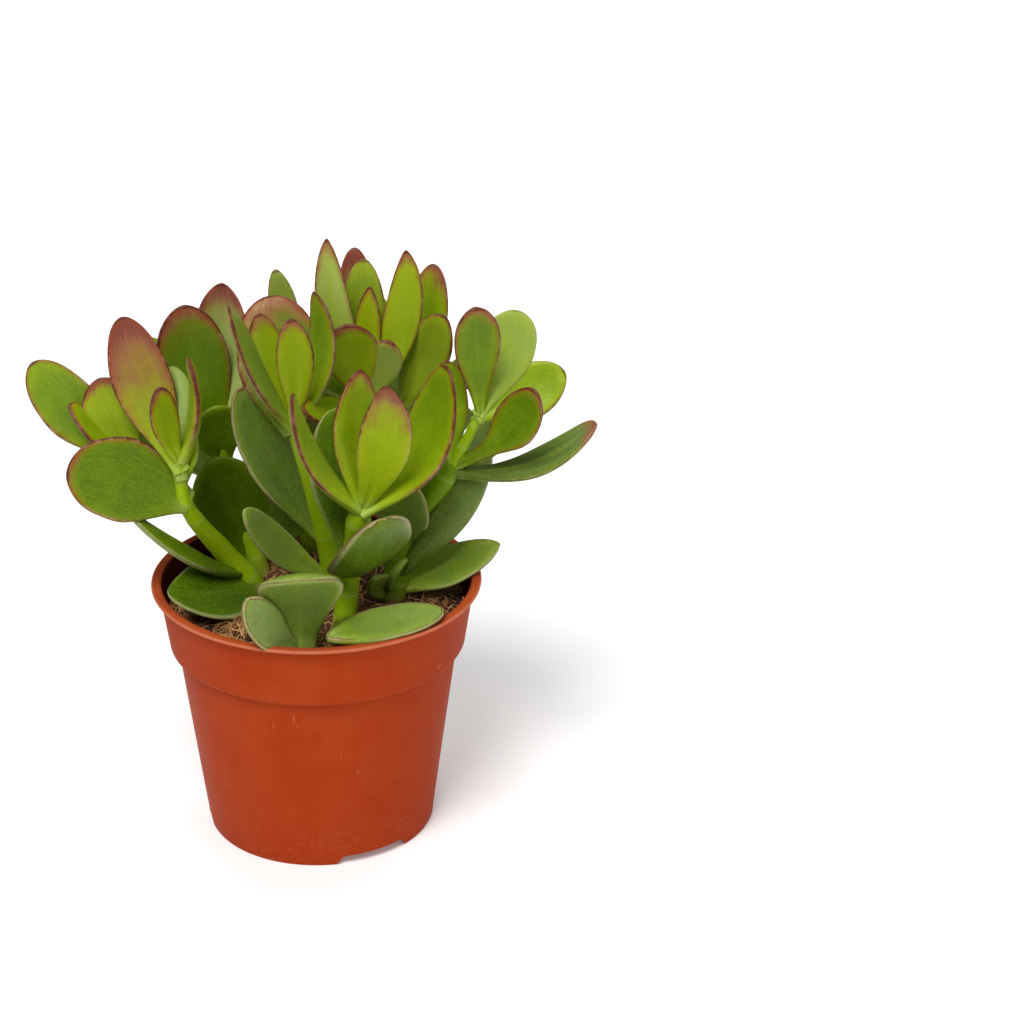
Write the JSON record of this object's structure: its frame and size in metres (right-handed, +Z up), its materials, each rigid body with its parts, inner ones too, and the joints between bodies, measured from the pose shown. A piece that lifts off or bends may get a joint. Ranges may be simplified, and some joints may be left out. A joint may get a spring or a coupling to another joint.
{
  "type": "potted jade plant",
  "caption": "Young jade plant with thick oval red-edged leaves on short upright stems, rooted in soil in a round tapered plastic nursery pot; stands on the pot's feet.",
  "frame": {"origin": "the pot's axis in the plane that its feet stand on", "axes": "+Z up along the pot's axis, -Y towards the side seen in the picture, +X to its right"},
  "size_m": [0.2003, 0.1318, 0.219],
  "materials": {
    "pot_plastic": "satin",
    "soil": "matte",
    "jade_leaf": "satin"
  },
  "bodies": {
    "root": {"pot": "pot_plastic", "soil": "soil", "leafy_stem_left": "jade_leaf", "leafy_stem_back_left": "jade_leaf", "leafy_stem_middle": "jade_leaf", "leafy_stem_front": "jade_leaf", "leafy_stem_low": "jade_leaf", "leafy_stem_right": "jade_leaf", "leafy_stem_top": "jade_leaf", "leafy_stem_back_right": "jade_leaf", "leafy_stem_rear": "jade_leaf"}
  },
  "joints": []
}
